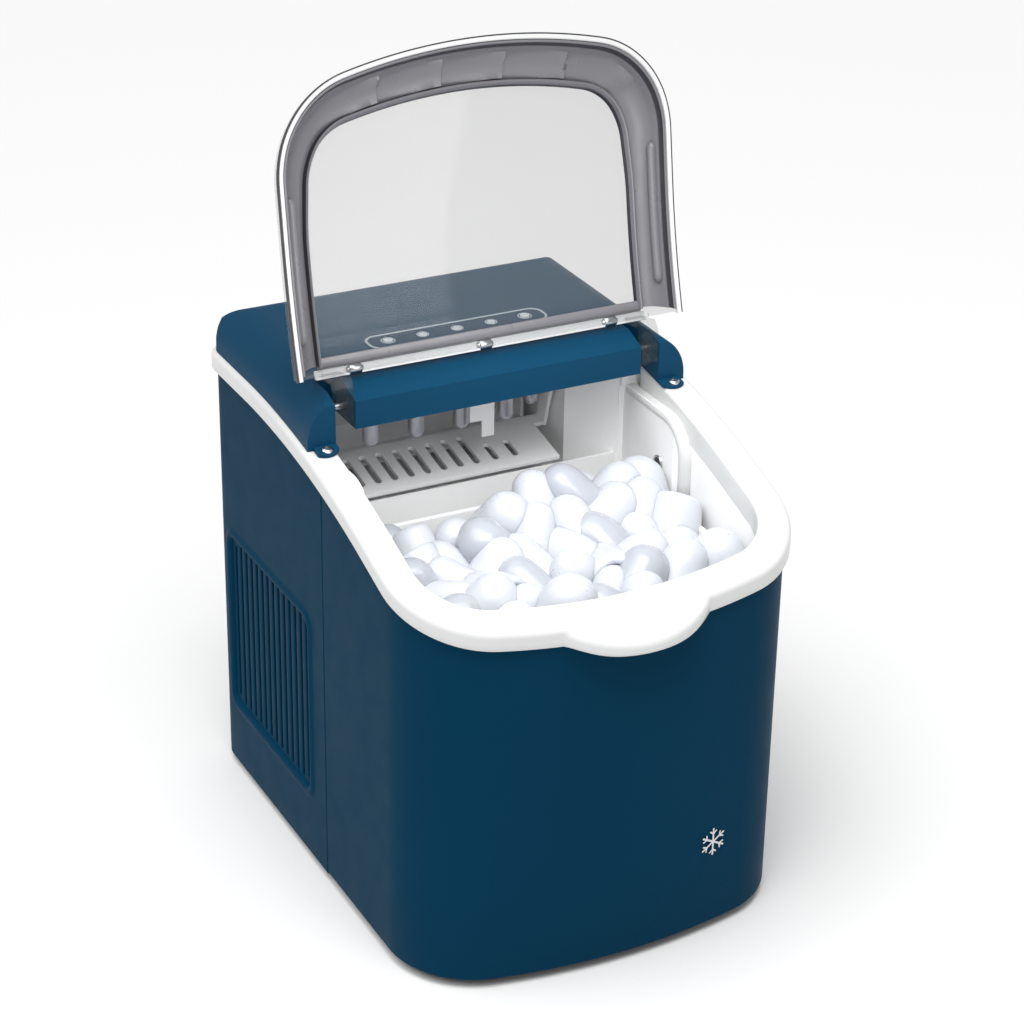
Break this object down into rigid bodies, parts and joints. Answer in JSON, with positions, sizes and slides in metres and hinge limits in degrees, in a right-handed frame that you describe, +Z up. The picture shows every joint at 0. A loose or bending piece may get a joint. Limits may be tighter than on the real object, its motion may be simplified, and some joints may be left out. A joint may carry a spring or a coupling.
{
  "type": "ice maker",
  "caption": "Countertop ice maker: blue case, white rim, open see-through lid, basket of bullet ice, freezing fingers, tilting tray and pusher.",
  "frame": {"origin": "on the surface it stands on, in the middle of its width and depth", "axes": "+Z up; the front with the finger lip faces -Y; +X is to the right of someone who faces the front"},
  "size_m": [0.248, 0.336, 0.489],
  "materials": {
    "blue_shell": "satin moulded plastic",
    "rim_white": "glossy moulded plastic",
    "white_plastic": "satin moulded plastic",
    "grey_plastic": "satin",
    "clear_plastic": "clear smoked plastic",
    "overlay": "printed film",
    "key_plastic": "satin",
    "steel": "bright steel",
    "finger_metal": "nickel plated copper",
    "copper_tube": "drawn copper",
    "dark_plastic": "matt",
    "rubber": "matt",
    "compressor_case": "painted black",
    "fin_metal": "bare fins",
    "circuit_board": "solder mask",
    "hose": "translucent hose",
    "foam": "foam",
    "ice": "clear to cloudy ice"
  },
  "bodies": {
    "machine": {"base_pan": "dark_plastic", "rubber_feet": "rubber", "rear_housing": "blue_shell", "front_shell": "blue_shell", "rim_collar": "rim_white", "top_cover": "blue_shell", "control_overlay": "overlay", "indicator_lamps": "key_plastic", "control_board": "circuit_board", "cover_screws": "steel", "front_badge": "steel", "bin_liner": "white_plastic", "ice_sensors": "dark_plastic", "sensor_bracket": "white_plastic", "evaporator_tube": "finger_metal", "freezing_fingers": "finger_metal", "tray_gearmotor": "steel", "hinge_pins": "steel", "compressor": "compressor_case", "compressor_mounts": "rubber", "condenser": "fin_metal", "fan_shroud": "dark_plastic", "fan_motor": "steel", "filter_drier": "copper_tube", "suction_tube": "copper_tube", "water_pump": "dark_plastic", "pump_tube": "hose", "power_board": "circuit_board", "drain_tube": "hose", "cord_gland": "dark_plastic", "housing_screws": "steel", "foam_block": "foam"},
    "lid": {"lid_skin": "clear_plastic", "lid_frame": "grey_plastic", "lid_edge_trim": "rim_white", "lid_clips": "steel", "hinge_arms": "clear_plastic"},
    "tray": {"water_tray": "white_plastic", "tray_drive_shaft": "steel"},
    "pusher": {"ice_pusher": "white_plastic"},
    "power_key": {"power_button": "key_plastic"},
    "select_key": {"select_button": "key_plastic"},
    "basket": {"ice_basket": "white_plastic", "ice_bullets": "ice"},
    "drain_plug": {"drain_cap": "blue_shell"},
    "fan": {"fan_blade": "grey_plastic"}
  },
  "joints": [
    {"name": "lid_hinge", "type": "hinge", "parent": "machine", "child": "lid", "pos_m": [0, 0.0285, 0.2937], "axis": [1, 0, 0], "range_deg": [0, 117]},
    {"name": "tray_tilt", "type": "hinge", "parent": "machine", "child": "tray", "pos_m": [0, 0.108, 0.262], "axis": [-1, 0, 0], "range_deg": [0, 90]},
    {"name": "pusher_swing", "type": "hinge", "parent": "machine", "child": "pusher", "pos_m": [0, 0.0725, 0.285], "axis": [-1, 0, 0], "range_deg": [0, 60]},
    {"name": "power_press", "type": "slide", "parent": "machine", "child": "power_key", "axis": [0, 0, -1], "range_m": [0, 0.0008], "stiffness_N_per_m": 400},
    {"name": "select_press", "type": "slide", "parent": "machine", "child": "select_key", "axis": [0, 0, -1], "range_m": [0, 0.0008], "stiffness_N_per_m": 400},
    {"name": "basket_lift", "type": "slide", "parent": "machine", "child": "basket", "axis": [0, 0, 1], "range_m": [0, 0.018]},
    {"name": "drain_pull", "type": "slide", "parent": "machine", "child": "drain_plug", "axis": [1, 0, 0], "range_m": [0, 0.012]},
    {"name": "fan_spin", "type": "hinge", "parent": "machine", "child": "fan", "pos_m": [-0.082, 0.104, 0.108], "axis": [1, 0, 0], "continuous": true}
  ],
  "couplings": [
    {"joint": "pusher_swing", "follows": "tray_tilt", "ratio": 0.66667}
  ]
}
